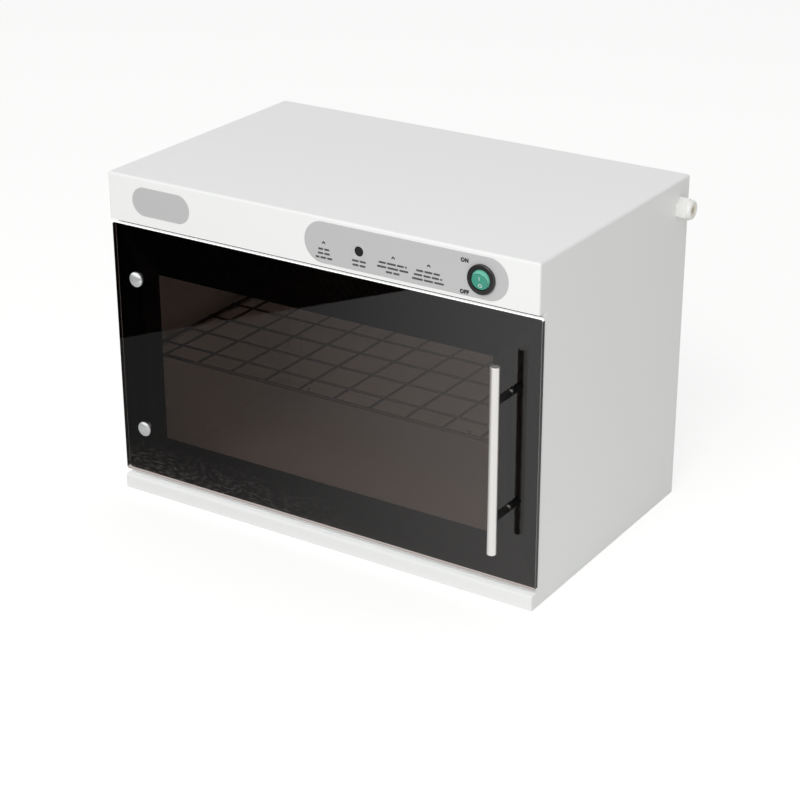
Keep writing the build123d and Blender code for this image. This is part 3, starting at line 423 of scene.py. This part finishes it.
def pick(piece, kind, chosen):
    """In edit mode, select only the faces or vertices that a test picks, and count them."""
    bpy.ops.object.mode_set(mode="EDIT")
    bpy.ops.mesh.select_mode(type={"polygons": "FACE", "vertices": "VERT"}[kind])
    bpy.ops.mesh.select_all(action="DESELECT")
    bpy.ops.object.mode_set(mode="OBJECT")
    count = 0
    for item in getattr(piece.data, kind):
        item.select = bool(chosen(item))
        count += item.select
    bpy.ops.object.mode_set(mode="EDIT")
    return count


def joined_copy(name, node):
    """A copy of a solid with its loose triangles joined."""
    piece = bpy.data.objects.new(name, nodes[node].data.copy())
    scene.collection.objects.link(piece)
    pick_up(piece)
    bpy.ops.mesh.customdata_custom_splitnormals_clear()
    bpy.ops.object.mode_set(mode="EDIT")
    bpy.ops.mesh.select_all(action="SELECT")
    bpy.ops.mesh.remove_doubles(threshold=JOIN * MM)
    bpy.ops.object.mode_set(mode="OBJECT")
    return piece


def paint(piece, tests):
    """Put further finishes on a piece, each on the faces that its test picks."""
    for material, _ in tests:
        piece.data.materials.append(material)
    pick_up(piece)
    for index, (material, belongs) in enumerate(tests, start=1):
        count = pick(piece, "polygons", belongs)
        piece.active_material_index = index
        bpy.ops.object.material_slot_assign()
        bpy.ops.object.mode_set(mode="OBJECT")
        print(piece.name, "faces in", material.name, ":", count)
    let_go()


def settle(piece, name, material, node, replaces=False):
    """Name a finished piece, put its place into its mesh, dress it and let it ride with a solid's body."""
    pick_up(piece)
    bpy.ops.object.transform_apply(location=True, rotation=True, scale=True)
    piece.name = name
    piece.data.name = name
    dress(piece, material)
    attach(piece, nodes[node]["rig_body"])
    if replaces:
        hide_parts(node)
    let_go()
    low = [round(min(v.co[i] for v in piece.data.vertices) / MM, 2) for i in range(3)]
    high = [round(max(v.co[i] for v in piece.data.vertices) / MM, 2) for i in range(3)]
    print(name, "from", low, "to", high, "mm,", len(piece.data.polygons), "faces")
    return piece


# %% [markdown]
# The wheel that squares a pane also takes its sharp arris off. Faces that look up or down, and the arris
# beside them, get the ground finish and its painted glow. The upright arrises on the handle's side get a
# pale grey, and the rest of the rim is polished.

# %% Door pane
FACING = 0.9
SLANTED = 0.3
SIDEWAYS = 0.95
pane = joined_copy("door_pane", "door_glass")
settle(pane, "door_pane", tinted_glass, "door_glass", replaces=True)
rims = [
    # The ground rims carry the painted glow.
    (ground_rim_painted_glow, lambda face: abs(face.normal.y) < FACING and abs(face.normal.z) > SLANTED),
    (polished_edge, lambda face: abs(face.normal.y) < FACING and abs(face.normal.z) <= SLANTED),
    (pale_arris, lambda face: SLANTED < abs(face.normal.y) < FACING and SLANTED < face.normal.x < SIDEWAYS),
]
paint(pane, rims)

# %% [markdown]
# The words and signs are screen-printed on the label in black and dark grey. A switch is marked ON and OFF
# beside it, and with a bar and a ring on it. Where a real panel has small print, short bars stand in for it.
# A printed layer is far too thin to see, so each mark is a sheet 0.04 mm thick that lies on its face.

# %% Ink and places on the front
label_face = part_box("control_film")[0].y
button_low, button_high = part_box("start_button")
switch_low, switch_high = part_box("switch_body")
rocker_middle = (switch_low + switch_high) / 2
button_middle = (button_low + button_high) / 2
INK = 0.04
LETTER_STEPS = 6
LETTER_SPREAD = 2
screen_black = finish("black_screen_ink", "#0C0C0C", 0.5)
screen_grey = finish("dark_grey_screen_ink", "#4A4A4A", 0.5)
pad_white = finish("white_pad_ink", "#EDEFEC", 0.5)
print("label face at y =", round(label_face / MM, 2), "mm")


def word(text, height, narrow=1.0, bolder=0.0):
    """A word as a thin sheet of ink that stands up and looks forwards, centred on the origin."""
    let_go()
    bpy.ops.object.text_add(location=(0, 0, 0))
    letters = bpy.context.object
    letters.data.body = text
    letters.data.align_x = "CENTER"
    letters.data.align_y = "CENTER"
    letters.data.resolution_u = LETTER_STEPS
    letters.data.offset = bolder
    letters.data.space_character = 1 + LETTER_SPREAD * bolder
    bpy.ops.object.convert(target="MESH")
    letters = bpy.context.object
    rows = [v.co.y for v in letters.data.vertices]
    scale = height * MM / (max(rows) - min(rows))
    letters.scale = (scale * narrow, scale, scale)
    bpy.ops.object.transform_apply(scale=True)
    bpy.ops.object.mode_set(mode="EDIT")
    bpy.ops.mesh.select_all(action="SELECT")
    bpy.ops.mesh.extrude_region_move(TRANSFORM_OT_translate={"value": (0, 0, INK * MM)})
    bpy.ops.mesh.select_all(action="SELECT")
    bpy.ops.mesh.normals_make_consistent(inside=False)
    bpy.ops.object.mode_set(mode="OBJECT")
    letters.rotation_euler = (pi / 2, 0, 0)
    bpy.ops.object.transform_apply(rotation=True)
    return letters


def join(pieces):
    """Several pieces made one object."""
    let_go()
    for piece in pieces:
        piece.select_set(True)
    bpy.context.view_layer.objects.active = pieces[0]
    bpy.ops.object.join()
    return bpy.context.object


# %% Words beside the switch
WORD_HEIGHT = 3.6
WORD_ASIDE = 14.6
WORD_NARROW = 0.92
WORD_BOLDER = 0.075
WORDS = {"ON": 11.9, "OFF": -12.8}
words = []
for text, rise in WORDS.items():
    letters = word(text, WORD_HEIGHT, WORD_NARROW, WORD_BOLDER)
    letters.location = (rocker_middle.x - WORD_ASIDE * MM, label_face, rocker_middle.z + rise * MM)
    words.append(letters)
settle(join(words), "switch_words", screen_black, "control_film")

# %% [markdown]
# The rocker is moulded in see-through green, and its face is an even green. Its wall faces up to the light,
# and a painted highlight makes it pale. Along the rounded edge between them, a painted shade makes the green
# nearly black. The faces are told apart by how far they turn from the flat face.

# %% Rocker
FACE_LEAN = 13.0
FACE_EVEN = 0.995
EDGE_TURN = 0.6
face_way = Vector((0, -cos(radians(FACE_LEAN)), -sin(radians(FACE_LEAN))))
cap = joined_copy("rocker_cap", "rocker")
bpy.ops.object.shade_smooth_by_angle(angle=radians(SMOOTH_BELOW))
settle(cap, "rocker_cap", green_plastic, "rocker", replaces=True)
# The rounded edge gets the painted shade, and the wall gets the painted highlight.
shades = [
    (green_painted_shade, lambda face: EDGE_TURN < face.normal.dot(face_way) < FACE_EVEN),
    (green_painted_highlight, lambda face: face.normal.dot(face_way) <= EDGE_TURN),
]
paint(cap, shades)

# %% [markdown]
# The rocker's flat face leans out at the top while the switch is off. Its two marks are laid down level,
# 4.4 mm in front of the pivot, and are then turned about the pivot with the face.

# %% Bar and ring on the rocker
MARK_HEIGHT = 3.0
MARK_BOLDER = 0.004
MARKS = {"I": 2.4, "O": -3.7}
FACE_OUT = 4.4
pivot = (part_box("rocker_pivot")[0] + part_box("rocker_pivot")[1]) / 2
signs = []
for text, rise in MARKS.items():
    letters = word(text, MARK_HEIGHT, bolder=MARK_BOLDER)
    letters.location = (pivot.x, pivot.y - FACE_OUT * MM, pivot.z + rise * MM)
    signs.append(letters)
marks = join(signs)
pick_up(marks)
bpy.ops.object.transform_apply(location=True)
bpy.ops.object.mode_set(mode="EDIT")
bpy.ops.mesh.select_all(action="SELECT")
bpy.ops.transform.rotate(value=-radians(FACE_LEAN), orient_axis="X", center_override=pivot)
bpy.ops.object.mode_set(mode="OBJECT")
settle(marks, "rocker_marks", pad_white, "rocker")

# %% [markdown]
# Each small lamp under the label has a chevron printed over it, pointing up, with rows of bars beneath.
# A chevron starts as a flat strip. It is cut in two across the middle, and the middle is pushed up.

# %% Chevrons
LAMP_PLACES = (12.0, 75.0, 106.3)
CHEVRON_WIDTH = 2.9
CHEVRON_LINE = 1.35
CHEVRON_RISE = 1.3
LAMP_ROW = 0.2


def strip(length, height, x, z):
    """A flat strip of ink that stands up on the label, with its middle as its origin."""
    let_go()
    bpy.ops.mesh.primitive_plane_add(size=1, location=(x, label_face, z), rotation=(pi / 2, 0, 0))
    piece = bpy.context.object
    piece.scale = (length * MM, height * MM, 1)
    bpy.ops.object.transform_apply(location=False, rotation=False, scale=True)
    return piece


def thicken(piece):
    """Give a flat mark the thickness of its ink."""
    pick_up(piece)
    bpy.ops.object.transform_apply(location=True, rotation=True, scale=True)
    bpy.ops.object.mode_set(mode="EDIT")
    bpy.ops.mesh.select_all(action="SELECT")
    bpy.ops.mesh.extrude_region_move(TRANSFORM_OT_translate={"value": (0, -INK * MM, 0)})
    bpy.ops.mesh.select_all(action="SELECT")
    bpy.ops.mesh.normals_make_consistent(inside=False)
    bpy.ops.object.mode_set(mode="OBJECT")
    return piece


chevrons = []
for place_x in LAMP_PLACES:
    chevron = strip(CHEVRON_WIDTH, CHEVRON_LINE, place_x * MM, button_middle.z + LAMP_ROW * MM)
    pick_up(chevron)
    bpy.ops.object.mode_set(mode="EDIT")
    bpy.ops.mesh.select_all(action="SELECT")
    bpy.ops.mesh.subdivide(number_cuts=1)
    pick(chevron, "vertices", lambda v: abs(v.co.x) < CHEVRON_LINE * MM / 2)
    bpy.ops.transform.translate(value=(0, 0, CHEVRON_RISE * MM))
    chevrons.append(thicken(chevron))
settle(join(chevrons), "lamp_chevrons", screen_black, "control_film")

# %% [markdown]
# The bars take the places of small print. Each row is broken like words are, so it reads as print from
# afar. A bar is a strip whose four corners are rounded by a third of its height, with a bevel that acts on
# the corners alone.

# %% Bars in place of small print
BAR_HEIGHT = 1.6
BAR_GAP = 1.0
CORNER_STEPS = 3
ROW_PITCH = 3.4
FIRST_ROW = -4.5
PRINT = {
    12.0: (0, [(4.6, 4.6), (5.0, 5.0), (3.6, 5.2, 4.6)]),
    44.2: (1, [(6.0, 5.6), (5.4, 5.4)]),
    74.5: (0, [(6.4, 8.0, 6.0, 1.6), (8.2, 9.6, 8.0), (5.6, 5.6)]),
    105.6: (0, [(6.2, 7.0, 5.4), (7.4, 6.2, 6.4, 1.6), (9.4, 8.0, 8.4)]),
}
printed = []
for column, (skipped, rows) in PRINT.items():
    for i, bars in enumerate(rows):
        z = button_middle.z + (FIRST_ROW - (i + skipped) * ROW_PITCH) * MM
        x = column - (sum(bars) + BAR_GAP * (len(bars) - 1)) / 2
        for length in bars:
            bar = strip(length, BAR_HEIGHT, (x + length / 2) * MM, z)
            bpy.ops.object.mode_set(mode="EDIT")
            bpy.ops.mesh.select_all(action="SELECT")
            bpy.ops.mesh.bevel(offset=BAR_HEIGHT * MM / 3, segments=CORNER_STEPS, affect="VERTICES")
            printed.append(thicken(bar))
            x += length + BAR_GAP
settle(join(printed), "panel_marks", screen_grey, "control_film")

# %% [markdown]
# Round the start button the label has a low ring pressed up from behind, to find it by touch. A ring is a
# small half circle turned about the button's axis, as on a lathe: the spin tool does just that.

# %% Raised ring
RING_RADIUS = 5.7
RING_HALF_WIDTH = 0.8
RING_HEIGHT = 0.4
RING_POINTS = 7
RING_STEPS = 64
RING_JOIN = 0.001
let_go()
bpy.ops.mesh.primitive_circle_add(
    vertices=2 * (RING_POINTS - 1),
    radius=RING_HALF_WIDTH * MM,
    location=(button_middle.x, label_face, button_middle.z),
)
ring = bpy.context.object
bpy.ops.object.mode_set(mode="EDIT")
bpy.ops.mesh.select_all(action="SELECT")
bpy.ops.transform.resize(value=(1, RING_HEIGHT / RING_HALF_WIDTH, 1))
bpy.ops.transform.translate(value=(RING_RADIUS * MM, 0, 0))
bpy.ops.mesh.spin(
    steps=RING_STEPS,
    angle=2 * pi,
    center=(button_middle.x, label_face, button_middle.z),
    axis=(0, 1, 0),
)
bpy.ops.mesh.select_all(action="SELECT")
bpy.ops.mesh.remove_doubles(threshold=RING_JOIN * MM)
bpy.ops.mesh.normals_make_consistent(inside=False)
bpy.ops.object.mode_set(mode="OBJECT")
bpy.ops.object.shade_smooth()
settle(ring, "button_ring", grey_label, "control_film")

# %% [markdown]
# The back is held on by pan-head screws with a cross recess, for a power screwdriver. The solid screws have
# plain heads, so the recess is pressed into a copy of them. A crossed pair of tapered blades is modelled
# once, is copied to every head with a mesh of its own, and is then taken away from the screws. The middle
# of the blades lies on the head's face, so they are made twice as deep as the recess.

# %% Cross-head screws of the back panel
RECESS_LENGTH = 3.2
RECESS_WIDTH = 0.8
RECESS_DEPTH = 1.0
RECESS_TIP = 0.45
joined_copy("panel_screw", "back_panel_screws")
bpy.ops.object.mode_set(mode="EDIT")
bpy.ops.mesh.select_all(action="SELECT")
bpy.ops.mesh.separate(type="LOOSE")
bpy.ops.object.mode_set(mode="OBJECT")
single = [o for o in scene.objects if o.name.startswith("panel_screw")]
head_face = max(v.co.y for o in single for v in o.data.vertices)
heads = []
for screw in single:
    xs = [v.co.x for v in screw.data.vertices]
    zs = [v.co.z for v in screw.data.vertices]
    heads.append(((min(xs) + max(xs)) / 2, (min(zs) + max(zs)) / 2))
screws = join(single)

blades = []
for turn_by in (0, pi / 2):
    let_go()
    bpy.ops.mesh.primitive_cube_add(size=1, location=(0, 0, 0))
    blade = bpy.context.object
    blade.scale = (RECESS_LENGTH * MM, 2 * RECESS_DEPTH * MM, RECESS_WIDTH * MM)
    bpy.ops.object.transform_apply(scale=True)
    pick(blade, "polygons", lambda face: face.normal.y < -FACING)
    bpy.ops.transform.resize(value=(RECESS_TIP, 1, RECESS_TIP))
    bpy.ops.object.mode_set(mode="OBJECT")
    blade.rotation_euler = (0, turn_by, 0)
    bpy.ops.object.transform_apply(rotation=True)
    blades.append(blade)
pick_up(blades[0])
crossing = blades[0].modifiers.new("crossing", "BOOLEAN")
crossing.operation = "UNION"
crossing.object = blades[1]
bpy.ops.object.modifier_apply(modifier="crossing")
bpy.data.objects.remove(blades[1])
for x, z in heads:
    recess = blades[0].copy()
    recess.data = blades[0].data.copy()
    scene.collection.objects.link(recess)
    recess.location = (x, head_face, z)
    pick_up(screws)
    pressing = screws.modifiers.new("pressing", "BOOLEAN")
    pressing.operation = "DIFFERENCE"
    pressing.object = recess
    bpy.ops.object.modifier_apply(modifier="pressing")
    bpy.data.objects.remove(recess)
bpy.data.objects.remove(blades[0])
pick_up(screws)
bpy.ops.object.shade_smooth_by_angle(angle=radians(SMOOTH_BELOW))
settle(screws, "panel_screws", zinc_plate, "back_panel_screws", replaces=True)
print("screw heads with a recess:", len(heads))

# %% [markdown]
# The cabinet stands on a pale table, which must look white in the picture and still hold a soft shadow.
# More light would burn out the white paint, so the table is only brightened for the camera's own rays.
# The door mirrors it, and in the photograph that mirrored table grows darker to the left, and ends at an
# edge with a dark room beyond. For glossy rays the table therefore fades, and a black card that only
# mirrors can see lies where the table ends.

# %% Table
TABLE_SIZE = 12.0
TABLE_WHITE = "#F4F4F2"
TABLE_SEEN = "#AFAFAE"
TABLE_GLOW = 0.67
MIRROR_DIM = 0.18
MIRROR_BRIGHT = 1.04
FADE_ALONG = (1.0, -0.63, 0.0)
FADE_FROM = -0.10
FADE_TO = 0.36

let_go()
bpy.ops.mesh.primitive_plane_add(size=TABLE_SIZE, location=(0, 0, 0))
table = bpy.context.object
table.name = "table"
white_table = bpy.data.materials.new("white_table_top")
white_table.use_nodes = True
white_table.node_tree.nodes.clear()
rays = add_node(white_table, "ShaderNodeLightPath")
top = add_node(white_table, "ShaderNodeBsdfDiffuse", {"Color": linear(TABLE_WHITE)})
glow = add_node(white_table, "ShaderNodeEmission", {"Strength": TABLE_GLOW})
shaded = add_node(white_table, "ShaderNodeBsdfDiffuse", {"Color": linear(TABLE_SEEN)})
seen = add_node(white_table, "ShaderNodeAddShader")
white_table.node_tree.links.new(shaded.outputs[0], seen.inputs[0])
white_table.node_tree.links.new(glow.outputs[0], seen.inputs[1])
where = add_node(white_table, "ShaderNodeTexCoord")
along = add_node(
    white_table, "ShaderNodeVectorMath", links={0: where.outputs["Object"]}, operation="DOT_PRODUCT"
)
along.inputs[1].default_value = FADE_ALONG
fade = add_node(
    white_table,
    "ShaderNodeMapRange",
    {"From Min": FADE_FROM, "From Max": FADE_TO, "To Min": MIRROR_DIM, "To Max": MIRROR_BRIGHT},
    {"Value": along.outputs["Value"]},
    interpolation_type="SMOOTHSTEP",
)
mirrored = add_node(white_table, "ShaderNodeEmission", links={"Strength": fade.outputs["Result"]})
by_camera = add_node(white_table, "ShaderNodeMixShader", links={"Fac": rays.outputs["Is Camera Ray"]})
white_table.node_tree.links.new(top.outputs[0], by_camera.inputs[1])
white_table.node_tree.links.new(seen.outputs[0], by_camera.inputs[2])
by_mirror = add_node(white_table, "ShaderNodeMixShader", links={"Fac": rays.outputs["Is Glossy Ray"]})
white_table.node_tree.links.new(by_camera.outputs[0], by_mirror.inputs[1])
white_table.node_tree.links.new(mirrored.outputs[0], by_mirror.inputs[2])
add_node(white_table, "ShaderNodeOutputMaterial", links={"Surface": by_mirror.outputs[0]})
dress(table, white_table)

# %% [markdown]
# The card is a square, and one of its sides lies along the edge.

# %% Black card beyond the table's edge
CARD_SIZE = 3.0
CARD_RISE = 0.001
EDGE_FAR = Vector((-0.560, -0.150, CARD_RISE))
EDGE_NEAR = Vector((-0.130, -0.824, CARD_RISE))
edge_run = (EDGE_NEAR - EDGE_FAR).normalized()
beyond = Vector((edge_run.y, -edge_run.x, 0))
bpy.ops.mesh.primitive_plane_add(
    size=CARD_SIZE,
    location=(EDGE_FAR + EDGE_NEAR + beyond * CARD_SIZE) / 2,
    rotation=(0, 0, edge_run.xy.angle_signed(Vector((1, 0)))),
)
card = bpy.context.object
card.name = "black_card"
dress(card, finish("black_velvet", "#000000", 1.0, Specular_IOR_Level=0.0))
card.visible_camera = False
card.visible_diffuse = False
card.visible_transmission = False
card.visible_shadow = False
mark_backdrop(table, card)
print("black card round", [round(c, 2) for c in card.location])

# %% [markdown]
# The light is that of a white room with one large window in front, a little to the right and above, so
# the front is brightest, then the top, then the right side. The sky gives an even base, and one broad
# soft lamp gives the rest. The sky is plain white wherever the camera, a mirror or glass sees it directly.

# %% Light
SKY = 0.56
LAMP_SIDE = 1.6
LAMP_POWER = 32.0
LAMP_PLACE = Vector((0.38, -1.95, 1.72))

world = bpy.data.worlds.new("white_room")
scene.world = world
world.use_nodes = True
world.node_tree.nodes.clear()
rays = add_node(world, "ShaderNodeLightPath")
even = add_node(world, "ShaderNodeBackground", {"Strength": SKY})
white = add_node(world, "ShaderNodeBackground", {"Strength": 1.0})
for shade in (even, white):
    shade.inputs["Color"].default_value = linear("#FFFFFF")
either = add_node(
    world,
    "ShaderNodeMath",
    operation="MAXIMUM",
    links={0: rays.outputs["Is Camera Ray"], 1: rays.outputs["Is Glossy Ray"]},
)
any_direct = add_node(
    world,
    "ShaderNodeMath",
    operation="MAXIMUM",
    links={0: either.outputs["Value"], 1: rays.outputs["Is Transmission Ray"]},
)
choice = add_node(world, "ShaderNodeMixShader", links={"Fac": any_direct.outputs["Value"]})
world.node_tree.links.new(even.outputs[0], choice.inputs[1])
world.node_tree.links.new(white.outputs[0], choice.inputs[2])
add_node(world, "ShaderNodeOutputWorld", links={"Surface": choice.outputs[0]})

lamp_data = bpy.data.lights.new("soft_window", "AREA")
lamp_data.size = LAMP_SIDE
lamp_data.energy = LAMP_POWER
window = bpy.data.objects.new("soft_window", lamp_data)
scene.collection.objects.link(window)
window.location = LAMP_PLACE
window.rotation_euler = (AIM * MM - LAMP_PLACE).to_track_quat("-Z", "Y").to_euler()
window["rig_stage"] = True
scene.view_settings.view_transform = "Standard"
print("sky", SKY, "lamp", LAMP_POWER, "W")

# %% [markdown]
# The sizes of the dressed cabinet, without the table and the card, are printed.

# %% Sizes
dressed_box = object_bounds()
for low, high, axis in zip(dressed_box[0], dressed_box[1], "XYZ"):
    print(axis, round(low / MM, 2), "to", round(high / MM, 2), "mm")
